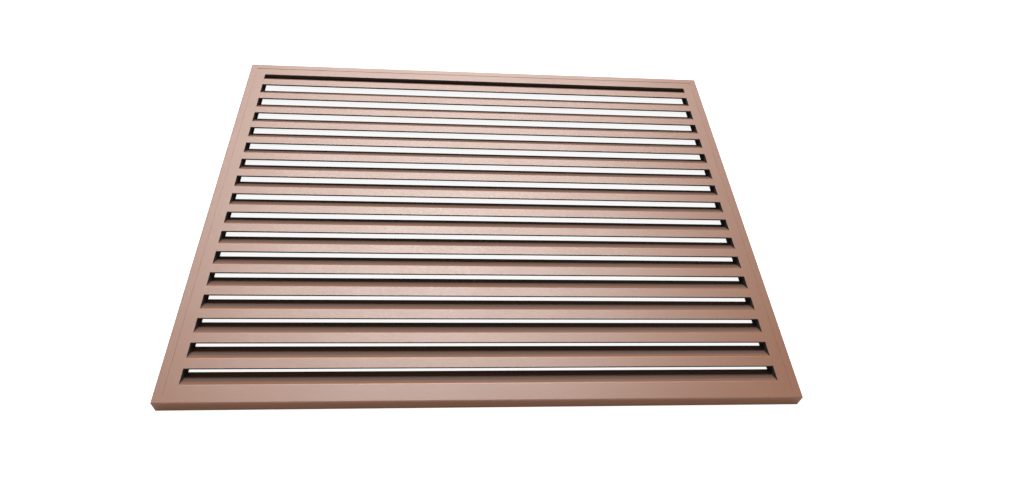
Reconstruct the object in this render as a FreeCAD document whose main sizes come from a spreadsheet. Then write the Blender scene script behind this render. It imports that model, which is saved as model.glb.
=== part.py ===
"""Louvred sheet metal panel: a shallow flanged panel with full-width louvres, in one piece.

The panel lies on its back rim. The frame's origin is the centre of its footprint, +Z is up out of the
face, +X runs along the louvres, and the blades slope down towards +Y, the rear.
"""
import FreeCAD, Part
import math
import os
import Sketcher

ORIGIN = (-1, 1)                # a sketch's own origin point
START, END, CENTRE = 1, 2, 3    # the points of a line or an arc

SIZES = [
    ("panel_width", 600.0, "outer width, along the louvres"),
    ("panel_depth", 486.0, "outer depth, across the louvres"),
    ("panel_height", 14.0, "overall height, from the cut edges of the flanges to the border's face"),
    ("sheet", 2.0, "thickness of the sheet"),
    ("fold_radius", 1.0, "outside radius of the folds and corners round the panel's edge"),
    ("side_margin", 20.0, "flat face between each side edge and the ends of the slots"),
    ("front_margin", 17.5, "flat face between the front edge and the first blade's fold"),
    ("rear_margin", 20.0, "flat face behind the rearmost slot"),
    ("border_width", 8.3, "width of the raised border round the face"),
    ("border_step", 0.3, "height of the border above the field of louvres"),
    ("louvre_pitch", 27.4, "distance from one fold to the next"),
    ("slat_width", 10.1, "flat face between one slot and the next blade's fold"),
    ("least_slot", 5.0, "narrowest slot left behind the last fold"),
    ("blade_angle", 34.0, "slope of the blades below the face, in degrees"),
    ("blade_fold_radius", 0.5, "inside radius of each blade's fold"),
]

# Lengths that follow from the sizes. A body's Y starts at the front edge of the panel.
FIELD_TOP = "(Sizes.panel_height - Sizes.border_step)"
CEILING = f"({FIELD_TOP} - Sizes.sheet)"
SLOT_LENGTH = "(Sizes.panel_width - 2 * Sizes.side_margin)"
LOUVRE_COUNT = (
    "(floor((Sizes.panel_depth - Sizes.rear_margin - Sizes.front_margin - Sizes.least_slot)"
    " / Sizes.louvre_pitch) + 1)"
)
LAST_FOLD = f"(Sizes.front_margin + ({LOUVRE_COUNT} - 1) * Sizes.louvre_pitch)"
LAST_SLOT_END = f"({LAST_FOLD} + Sizes.louvre_pitch - Sizes.slat_width)"
SLOTS_END = f"min(Sizes.panel_depth - Sizes.rear_margin; {LAST_SLOT_END})"


def add_sizes(doc):
    """Write the driving dimensions into the spreadsheet, one named cell each."""
    sheet = doc.addObject("Spreadsheet::Sheet", "Sizes")
    for row, (name, value, meaning) in enumerate(SIZES, start=1):
        sheet.set(f"A{row}", name)
        sheet.set(f"B{row}", str(value))
        sheet.set(f"C{row}", meaning)
        sheet.setAlias(f"B{row}", name)
    doc.recompute()
    return sheet


def add_sketch(body, name, plane, height=None):
    """Attach an empty sketch to one of the body's origin planes, raised to a height if one is given."""
    sketch = body.newObject("Sketcher::SketchObject", name)
    support = next(item for item in body.Origin.OriginFeatures if item.Role == plane)
    sketch.AttachmentSupport = (support, "")
    sketch.MapMode = "FlatFace"
    if height:
        sketch.setExpression(".AttachmentOffset.Base.z", height)
    return sketch


def bind(sketch, name, expression, kind, *where):
    """Add a dimension to the sketch, give it a name, and drive it by an expression."""
    value = FreeCAD.Units.Quantity(sketch.evalExpression(expression)).Value
    index = sketch.addConstraint(Sketcher.Constraint(kind, *where, value))
    sketch.renameConstraint(index, name)
    sketch.setExpression(f"Constraints.{name}", expression)


def draw_rectangle(sketch, left, right, front, rear):
    """Draw a rectangle between two X places and two Y places, all of them expressions."""
    guess = [FreeCAD.Vector(*point) for point in ((1, 1), (9, 1), (9, 9), (1, 9))]
    sides = [
        sketch.addGeometry(Part.LineSegment(guess[corner], guess[(corner + 1) % 4]), False)
        for corner in range(4)
    ]
    for side, next_side in zip(sides, sides[1:] + sides[:1]):
        sketch.addConstraint(Sketcher.Constraint("Coincident", side, END, next_side, START))
    for side, direction in zip(sides, ("Horizontal", "Vertical", "Horizontal", "Vertical")):
        sketch.addConstraint(Sketcher.Constraint(direction, side))
    bind(sketch, "left", left, "DistanceX", *ORIGIN, sides[0], START)
    bind(sketch, "right", right, "DistanceX", *ORIGIN, sides[0], END)
    bind(sketch, "front", front, "DistanceY", *ORIGIN, sides[0], START)
    bind(sketch, "rear", rear, "DistanceY", *ORIGIN, sides[2], START)


def draw_centred_rectangle(sketch, width, front, rear):
    """Draw a rectangle that is centred on the panel's middle line."""
    draw_rectangle(sketch, f"-{width} / 2", f"{width} / 2", front, rear)


def add_pocket(body, name, sketch, depth, upwards):
    """Cut the sketch into the body, upwards from the back or downwards from the face."""
    body.Document.recompute()
    before = body.Shape.Volume
    pocket = body.newObject("PartDesign::Pocket", name)
    pocket.Profile = sketch
    pocket.Reversed = upwards
    pocket.setExpression("Length", depth)
    body.Document.recompute()
    if not pocket.Shape.Volume < before:
        raise RuntimeError(f"{name} cuts nothing")
    return pocket


def add_block(body):
    """The panel's outline at full height, before anything is cut out of it."""
    sketch = add_sketch(body, "outline", "XY_Plane")
    draw_centred_rectangle(sketch, "Sizes.panel_width", "0", "Sizes.panel_depth")
    pad = body.newObject("PartDesign::Pad", "block")
    pad.Profile = sketch
    pad.setExpression("Length", "Sizes.panel_height")
    body.Document.recompute()
    return pad


def add_outer_folds(body, block):
    """Round the fold between face and flanges, and the four upright corners."""
    top = block.Shape.BoundBox.ZMax
    tolerance = 1e-6

    def is_fold(edge):
        upright = edge.BoundBox.ZLength > tolerance
        on_top = abs(edge.BoundBox.ZMin - top) < tolerance
        return upright or on_top

    names = [f"Edge{index}" for index, edge in enumerate(block.Shape.Edges, start=1) if is_fold(edge)]
    fillet = body.newObject("PartDesign::Fillet", "outer_folds")
    fillet.Base = (block, names)
    fillet.setExpression("Radius", "Sizes.fold_radius")
    body.Document.recompute()
    return fillet


def add_border_step(body):
    """Set the field of louvres a little lower than the border round it."""
    sketch = add_sketch(body, "field_outline", "XY_Plane", "Sizes.panel_height")
    draw_centred_rectangle(
        sketch,
        "(Sizes.panel_width - 2 * Sizes.border_width)",
        "Sizes.border_width",
        "Sizes.panel_depth - Sizes.border_width",
    )
    return add_pocket(body, "border_step", sketch, "Sizes.border_step", upwards=False)


def add_louvre_opening(body):
    """Open the whole field, from the first blade's fold to the wall behind the rearmost slot."""
    sketch = add_sketch(body, "opening_outline", "XY_Plane")
    draw_centred_rectangle(sketch, SLOT_LENGTH, "Sizes.front_margin", SLOTS_END)
    return add_pocket(body, "louvre_opening", sketch, "Sizes.panel_height", upwards=True)


def draw_louvre_section(sketch):
    """Draw one louvre's section: a flat slat, a round fold, and a blade that ends at the back plane."""
    size = sketch.Document.Sizes
    slope = math.radians(size.blade_angle)
    face = size.panel_height - size.border_step
    back = face - size.sheet
    fold = size.front_margin
    slat_start = fold - size.slat_width
    fold_centre = FreeCAD.Vector(fold, back - size.blade_fold_radius)
    square_to_blade = FreeCAD.Vector(math.sin(slope), math.cos(slope))

    def foot(top):
        """Where a line down the blade from this point meets the back plane."""
        return FreeCAD.Vector(top.x + top.y / math.tan(slope), 0)

    def line(first, last):
        return sketch.addGeometry(Part.LineSegment(first, last), False)

    def arc(radius):
        circle = Part.Circle(fold_centre, FreeCAD.Vector(0, 0, 1), radius)
        return sketch.addGeometry(Part.ArcOfCircle(circle, math.pi / 2 - slope, math.pi / 2), False)

    outside_radius = size.blade_fold_radius + size.sheet
    blade_face_top = fold_centre + square_to_blade * outside_radius
    blade_back_top = fold_centre + square_to_blade * size.blade_fold_radius

    slat_face = line(FreeCAD.Vector(slat_start, face), FreeCAD.Vector(fold, face))
    outer_fold = arc(outside_radius)
    blade_face = line(blade_face_top, foot(blade_face_top))
    cut_edge = line(foot(blade_face_top), foot(blade_back_top))
    blade_back = line(foot(blade_back_top), blade_back_top)
    inner_fold = arc(size.blade_fold_radius)
    slat_back = line(FreeCAD.Vector(fold, back), FreeCAD.Vector(slat_start, back))
    slat_edge = line(FreeCAD.Vector(slat_start, back), FreeCAD.Vector(slat_start, face))

    def join(kind, *where):
        sketch.addConstraint(Sketcher.Constraint(kind, *where))

    join("Tangent", slat_face, END, outer_fold, END)
    join("Tangent", outer_fold, START, blade_face, START)
    join("Coincident", blade_face, END, cut_edge, START)
    join("Coincident", cut_edge, END, blade_back, START)
    join("Tangent", blade_back, END, inner_fold, START)
    join("Tangent", inner_fold, END, slat_back, START)
    join("Coincident", slat_back, END, slat_edge, START)
    join("Coincident", slat_edge, END, slat_face, START)
    join("Coincident", outer_fold, CENTRE, inner_fold, CENTRE)
    join("Horizontal", slat_face)
    join("Horizontal", cut_edge)
    join("Vertical", slat_edge)
    bind(sketch, "back_plane", "0", "DistanceY", *ORIGIN, cut_edge, START)
    bind(sketch, "face_height", FIELD_TOP, "DistanceY", *ORIGIN, slat_face, START)
    bind(sketch, "fold_line", "Sizes.front_margin", "DistanceX", *ORIGIN, slat_face, END)
    bind(sketch, "slat_width", "Sizes.slat_width", "DistanceX", slat_face, START, slat_face, END)
    bind(sketch, "thickness", "Sizes.sheet", "DistanceY", slat_edge, START, slat_edge, END)
    bind(sketch, "inside_radius", "Sizes.blade_fold_radius", "Radius", inner_fold)
    bind(sketch, "slope", "Sizes.blade_angle * 1 deg", "Angle", blade_face, END, cut_edge, START)


def add_louvres(body):
    """Run the louvre's section from end wall to end wall, and repeat it at the pitch."""
    sketch = add_sketch(body, "louvre_section", "YZ_Plane")
    draw_louvre_section(sketch)
    louvre = body.newObject("PartDesign::Pad", "louvre")
    louvre.Profile = sketch
    louvre.SideType = "Symmetric"
    louvre.setExpression("Length", f"{SLOT_LENGTH} + Sizes.sheet")
    body.Document.recompute()
    pattern = body.newObject("PartDesign::LinearPattern", "louvres")
    pattern.Originals = [louvre]
    rear_wards = next(item for item in body.Origin.OriginFeatures if item.Role == "Y_Axis")
    pattern.Direction = (rear_wards, [""])
    pattern.Mode = "Spacing"
    pattern.setExpression("Offset", "Sizes.louvre_pitch")
    pattern.setExpression("Occurrences", LOUVRE_COUNT)
    body.Tip = pattern
    body.Document.recompute()
    return pattern


def add_underside(body):
    """Hollow the margins from the back, which leaves the flanges and the inner walls standing."""
    inner_wall = "(Sizes.panel_width / 2 - Sizes.side_margin + Sizes.sheet)"
    inside_flange = "(Sizes.panel_width / 2 - Sizes.sheet)"
    inside_rear = "(Sizes.panel_depth - Sizes.sheet)"

    side = add_sketch(body, "side_channel_outline", "XY_Plane")
    draw_rectangle(side, inner_wall, inside_flange, "Sizes.sheet", inside_rear)
    side_channel = add_pocket(body, "side_channel", side, CEILING, upwards=True)
    both_sides = body.newObject("PartDesign::Mirrored", "side_channels")
    both_sides.Originals = [side_channel]
    middle = next(item for item in body.Origin.OriginFeatures if item.Role == "YZ_Plane")
    both_sides.MirrorPlane = (middle, [""])
    body.Tip = both_sides
    body.Document.recompute()

    front = add_sketch(body, "front_channel_outline", "XY_Plane")
    draw_centred_rectangle(front, SLOT_LENGTH, "Sizes.sheet", "Sizes.front_margin")
    add_pocket(body, "front_channel", front, CEILING, upwards=True)

    rear = add_sketch(body, "rear_channel_outline", "XY_Plane")
    draw_centred_rectangle(rear, SLOT_LENGTH, f"{SLOTS_END} + Sizes.sheet", inside_rear)
    return add_pocket(body, "rear_channel", rear, CEILING, upwards=True)


def build_panel(doc):
    """Build the louvred panel with its front edge at Y = 0, then centre it on the origin."""
    body = doc.addObject("PartDesign::Body", "Panel")
    body.Label = "louvred_panel"
    block = add_block(body)
    add_outer_folds(body, block)
    add_border_step(body)
    add_louvre_opening(body)
    add_louvres(body)
    body.Tip = add_underside(body)
    body.setExpression(".Placement.Base.y", "-Sizes.panel_depth / 2")
    doc.recompute()
    return body


def check(doc, bodies):
    """Stop if any object failed, or if a sub-part isn't one valid closed solid."""
    for item in doc.Objects:
        if "Invalid" in item.State or "Error" in item.State:
            raise RuntimeError(f"{item.Label} failed: {item.State}")
    for body in bodies:
        shape = body.Shape
        if shape.isNull() or not shape.isValid() or len(shape.Solids) != 1:
            raise RuntimeError(f"{body.Label} isn't one valid solid")


def main():
    doc = FreeCAD.newDocument("LouvredPanel")
    add_sizes(doc)
    bodies = [build_panel(doc)]
    check(doc, bodies)
    os.makedirs("parts", exist_ok=True)
    for body in bodies:
        body.Shape.exportStep(f"parts/{body.Label}.step")
        box = body.Shape.BoundBox
        print(
            f"{body.Label}: {body.Shape.Volume / 1000:.1f} cm3, {len(body.Shape.Faces)} faces,"
            f" {box.XLength:.2f} x {box.YLength:.2f} x {box.ZLength:.2f} mm"
        )


main()
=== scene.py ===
import math

import bpy
from mathutils import Matrix, Vector


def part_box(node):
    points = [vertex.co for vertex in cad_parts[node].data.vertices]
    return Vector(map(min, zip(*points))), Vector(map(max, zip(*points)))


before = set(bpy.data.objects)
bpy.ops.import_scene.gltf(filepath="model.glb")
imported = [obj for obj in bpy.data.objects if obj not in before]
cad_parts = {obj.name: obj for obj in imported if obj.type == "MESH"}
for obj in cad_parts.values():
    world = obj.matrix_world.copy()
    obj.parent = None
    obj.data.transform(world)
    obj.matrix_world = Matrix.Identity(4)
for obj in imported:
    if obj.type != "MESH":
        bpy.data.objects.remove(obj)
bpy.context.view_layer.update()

# The louvred panel lies on its back rim, face up, in one piece of sheet metal with a brown powder coat.
# All lengths are in metres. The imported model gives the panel's box, and the rest follows from it.
MM = 0.001
PANEL = "louvred_panel"
SHEET = 2.0 * MM
SIDE_MARGIN = 20.0 * MM
BORDER_STEP = 0.3 * MM

low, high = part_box(PANEL)
HALF_WIDTH = high.x
HALF_DEPTH = high.y
HEIGHT = high.z
FIELD = HEIGHT - BORDER_STEP
SLOT_END = HALF_WIDTH - SIDE_MARGIN


# --- a small language for finishes -------------------------------------------------------------

class Term:
    """One number that varies over a surface. Arithmetic on it adds Math nodes to its finish."""

    def __init__(self, finish, socket):
        self.finish = finish
        self.socket = socket

    def combine(self, operation, *numbers):
        return self.finish.maths(operation, *numbers)

    def __add__(self, other):
        return self.combine("ADD", self, other)

    def __sub__(self, other):
        return self.combine("SUBTRACT", self, other)

    def __mul__(self, other):
        return self.combine("MULTIPLY", self, other)

    def __rsub__(self, other):
        return self.combine("SUBTRACT", other, self)

    __radd__ = __add__
    __rmul__ = __mul__

    def __gt__(self, other):
        return self.combine("GREATER_THAN", self, other)

    def __lt__(self, other):
        return self.combine("LESS_THAN", self, other)

    def size(self):
        return self.combine("ABSOLUTE", self)


class Finish:
    """The nodes of one material or of the world, added one call at a time."""

    MIX_AMOUNT, MIX_FIRST, MIX_SECOND, MIX_RESULT = 0, 6, 7, 2     # the colour sockets of a Mix node

    def __init__(self, owner):
        self.owner = owner
        self.owner.use_nodes = True
        self.tree = owner.node_tree
        self.tree.nodes.clear()

    def node(self, kind, settings=None, values=None):
        """Adds one node. Its settings go in first, then the numbers or links of its sockets."""
        made = self.tree.nodes.new(kind)
        for name, value in (settings or {}).items():
            setattr(made, name, value)
        for name, value in (values or {}).items():
            if isinstance(value, Term):
                value = value.socket
            if isinstance(value, bpy.types.NodeSocket):
                self.tree.links.new(value, made.inputs[name])
            else:
                made.inputs[name].default_value = value
        return made

    def maths(self, operation, *numbers):
        made = self.node("ShaderNodeMath", {"operation": operation}, dict(enumerate(numbers)))
        return Term(self, made.outputs[0])

    def blend_colours(self, first, second, amount):
        values = {self.MIX_AMOUNT: amount, self.MIX_FIRST: first, self.MIX_SECOND: second}
        return self.node("ShaderNodeMix", {"data_type": "RGBA"}, values).outputs[self.MIX_RESULT]

    def ramp(self, number, start, end):
        """0 where number is at start or before it, 1 at end or past it, and smooth between them."""
        settings = {"interpolation_type": "SMOOTHSTEP"}
        values = {"Value": number, "From Min": start, "From Max": end}
        return Term(self, self.node("ShaderNodeMapRange", settings, values).outputs["Result"])

    def specks(self, where, grain, detail=2.0):
        """Even noise from 0 to 1, with lumps about as wide as grain."""
        values = {"Vector": where, "Scale": 1.0 / grain, "Detail": detail}
        return Term(self, self.node("ShaderNodeTexNoise", None, values).outputs[0])

    def parts(self, vector):
        made = self.node("ShaderNodeSeparateXYZ", None, {0: vector})
        return [Term(self, socket) for socket in made.outputs]

    def seen_directly(self):
        """1 for what the camera sees, and 0 for what lights or is mirrored."""
        return Term(self, self.node("ShaderNodeLightPath").outputs["Is Camera Ray"])

    def surface(self, shader):
        self.node("ShaderNodeOutputMaterial", None, {"Surface": shader})
        return self.owner


# --- the powder coat ---------------------------------------------------------------------------

FACE_BROWN = (0.245, 0.092, 0.038, 1.0)
WORN_BROWN = (0.34, 0.17, 0.10, 1.0)
# Near-black colour painted in as shade on the end walls, cut edges, undersides and blades inside the slots.
PAINTED_SHADE_BROWN = (0.012, 0.005, 0.003, 1.0)
COAT_ROUGHNESS = 0.45
COAT_INDEX = 1.85
RECESS_ROUGHNESS = 0.4          # added where the shade is painted

GRAIN = 1.2 * MM
GRAIN_HEIGHT = 0.1 * MM
GRAIN_DEPTH = 0.5               # how strongly the grain tilts the surface
GRAIN_SHADE = 0.5
GRAIN_ROUGHNESS = 0.25
CLOUD = 70.0 * MM
CLOUD_SHADE = 0.25
CLOUD_ROUGHNESS = 0.08

SQUARE_ON = 0.7                 # a face that points at least this much along an axis counts as facing it
LEANING = 0.2                   # a face that leans at least this much up or down counts as upper or lower
BLADE_SHADE_FROM = 1.3 * MM            # depths below the field over which painted shade darkens the blades
BLADE_SHADE_FULLY = 4.2 * MM
SHADE_EASES_FROM = 7.0 * MM            # depths where the painted shade on the blades eases off again
SHADE_EASES_FULLY = 9.5 * MM
SHADE_EASING_SHARE = 0.8
BLADE_SHADE_SHARE = 0.75
RUB_WIDTH = 1.6 * MM
RUB_SHARE = 0.6


def brown_powder_coat():
    """Fine-textured satin coat: a grain of small lumps, slow shifts of shade, a rubbed outer fold, and
    painted shade inside the slots.
    """
    coat = Finish(bpy.data.materials.new("brown_powder_coat"))
    place = coat.node("ShaderNodeTexCoord").outputs["Object"]
    facing = coat.node("ShaderNodeNewGeometry").outputs["Normal"]
    x, y, z = coat.parts(place)
    facing_x, facing_y, facing_z = coat.parts(facing)

    grain = coat.specks(place, GRAIN, 3.0)
    cloud = coat.specks(place, CLOUD, 2.0)
    shade = (cloud - 0.5) * CLOUD_SHADE + (grain - 0.5) * GRAIN_SHADE

    # Painted shade: these masks pick out the faces inside the slots and under the slats, where shade falls,
    # and darken them.
    end_walls = (facing_x.size() > SQUARE_ON) * (x.size() < SLOT_END + SHEET / 2)
    cut_edges = (facing_y < -SQUARE_ON) * (y > SHEET - HALF_DEPTH)
    underside = facing_z < -LEANING
    depth = FIELD - z
    # The painted shade on the blades starts a little below the field and eases off again deeper down.
    shade_easing = coat.ramp(depth, SHADE_EASES_FROM, SHADE_EASES_FULLY) * SHADE_EASING_SHARE
    blade_shade = coat.ramp(depth, BLADE_SHADE_FROM, BLADE_SHADE_FULLY) * (facing_z > LEANING) * (1.0 - shade_easing)
    painted_shade = coat.maths("MINIMUM", end_walls + cut_edges + underside + blade_shade * BLADE_SHADE_SHARE, 1.0)

    to_side = HALF_WIDTH - x.size()
    to_end = HALF_DEPTH - y.size()
    from_edge = coat.maths("MINIMUM", to_side, to_end)
    rubbed = coat.ramp(from_edge, RUB_WIDTH, 0.0) * coat.ramp(z, HEIGHT - RUB_WIDTH, HEIGHT) * grain

    colour = coat.blend_colours(FACE_BROWN, WORN_BROWN, rubbed * RUB_SHARE + shade)
    colour = coat.blend_colours(colour, PAINTED_SHADE_BROWN, painted_shade)
    roughness = (grain - 0.5) * GRAIN_ROUGHNESS + (cloud - 0.5) * CLOUD_ROUGHNESS
    roughness = roughness + painted_shade * RECESS_ROUGHNESS + COAT_ROUGHNESS
    bump = coat.node("ShaderNodeBump", None, {
        "Strength": GRAIN_DEPTH,
        "Distance": GRAIN_HEIGHT,
        "Height": grain,
    })
    shader = coat.node("ShaderNodeBsdfPrincipled", None, {
        "Base Color": colour,
        "Roughness": roughness,
        "IOR": COAT_INDEX,
        "Normal": bump.outputs[0],
    })
    return coat.surface(shader.outputs[0])


def dress_panel():
    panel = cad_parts[PANEL]
    coat = brown_powder_coat()
    for slot in panel.material_slots:
        slot.material = coat


# --- the floor, the lamps and the camera -------------------------------------------------------

FLOOR_SIZE = 14.0
FLOOR_GREY = (0.6, 0.6, 0.6, 1.0)
FLOOR_GLOW = 0.87
AIR_STRENGTH = 0.18
WHITE = (1.0, 1.0, 1.0, 1.0)


def pale_floor():
    """A plain matt floor. It looks white, keeps the panel's shadow, and lights nothing by its glow."""
    half = FLOOR_SIZE / 2
    mesh = bpy.data.meshes.new("floor")
    corners = [(-half, -half, 0), (half, -half, 0), (half, half, 0), (-half, half, 0)]
    mesh.from_pydata(corners, [], [(0, 1, 2, 3)])
    floor = bpy.data.objects.new("floor", mesh)
    bpy.context.scene.collection.objects.link(floor)
    paint = Finish(bpy.data.materials.new("pale_floor"))
    matt = paint.node("ShaderNodeBsdfDiffuse", None, {"Color": FLOOR_GREY})
    shine = {"Color": WHITE, "Strength": paint.seen_directly() * FLOOR_GLOW}
    glow = paint.node("ShaderNodeEmission", None, shine)
    both = paint.node("ShaderNodeAddShader", None, {0: matt.outputs[0], 1: glow.outputs[0]})
    mesh.materials.append(paint.surface(both.outputs[0]))


def surrounding_air():
    """Plain light from all round, with a white background behind everything."""
    world = bpy.data.worlds.new("air")
    bpy.context.scene.world = world
    air = Finish(world)
    dim = air.node("ShaderNodeBackground", None, {"Color": WHITE, "Strength": AIR_STRENGTH})
    white = air.node("ShaderNodeBackground", None, {"Color": WHITE, "Strength": 1.0})
    ends = {0: air.seen_directly(), 1: dim.outputs[0], 2: white.outputs[0]}
    choice = air.node("ShaderNodeMixShader", None, ends)
    air.node("ShaderNodeOutputWorld", None, {"Surface": choice.outputs[0]})


LAMP_REACH = 3.0


def soft_lamp(name, azimuth, elevation, wide, high, brightness):
    """A rectangular soft lamp that faces the panel. Azimuth 0 is behind the rear edge, positive to the right.

    Angles are in degrees, as seen from the panel, and brightness is that of the lamp's face."""
    turn = math.radians(azimuth)
    rise = math.radians(elevation)
    outward = Vector((math.sin(turn) * math.cos(rise), math.cos(turn) * math.cos(rise), math.sin(rise)))
    lamp = bpy.data.lights.new(name, "AREA")
    lamp.shape = "RECTANGLE"
    lamp.size = 2 * LAMP_REACH * math.tan(math.radians(wide / 2)) * math.cos(rise)
    lamp.size_y = 2 * LAMP_REACH * math.tan(math.radians(high / 2))
    lamp.energy = brightness * math.pi * lamp.size * lamp.size_y
    holder = bpy.data.objects.new(name, lamp)
    bpy.context.scene.collection.objects.link(holder)
    holder.location = outward * LAMP_REACH
    holder.rotation_mode = "QUATERNION"
    holder.rotation_quaternion = outward.to_track_quat("Z", "Y")


def studio_light():
    """A big lamp behind the panel gives the face its sheen, and weaker ones fill the sides and the front."""
    surrounding_air()
    soft_lamp("rear_lamp", azimuth=-1.0, elevation=53.0, wide=56.0, high=22.0, brightness=12.6)
    soft_lamp("rear_low_lamp", azimuth=0.0, elevation=37.0, wide=54.0, high=10.0, brightness=5.8)
    soft_lamp("rear_side_lamp", azimuth=-38.0, elevation=53.0, wide=18.0, high=22.0, brightness=4.0)
    soft_lamp("front_high_lamp", azimuth=180.0, elevation=46.0, wide=60.0, high=20.0, brightness=1.6)
    soft_lamp("front_low_lamp", azimuth=180.0, elevation=12.0, wide=60.0, high=16.0, brightness=2.1)


CAMERA_AT = Vector((-0.04274, -0.53334, 0.59780))
CAMERA_AIM = Vector((0.02864, -0.05782, 0.01370))
CAMERA_ROLL = 7.3
CAMERA_LENS = 24.41
SENSOR_WIDTH = 36.0
NEAREST_SEEN = 0.01


def camera():
    """Stands over the front edge, a little left of the middle, and looks down and rearward."""
    lens = bpy.data.cameras.new("camera")
    lens.lens = CAMERA_LENS
    lens.sensor_width = SENSOR_WIDTH
    lens.clip_start = NEAREST_SEEN
    holder = bpy.data.objects.new("camera", lens)
    bpy.context.scene.collection.objects.link(holder)
    look = (CAMERA_AIM - CAMERA_AT).to_track_quat("-Z", "Y").to_matrix().to_4x4()
    roll = Matrix.Rotation(math.radians(CAMERA_ROLL), 4, "Z")
    holder.matrix_world = Matrix.Translation(CAMERA_AT) @ look @ roll
    bpy.context.scene.camera = holder


dress_panel()
pale_floor()
studio_light()
camera()
bpy.context.scene.view_settings.view_transform = "Standard"
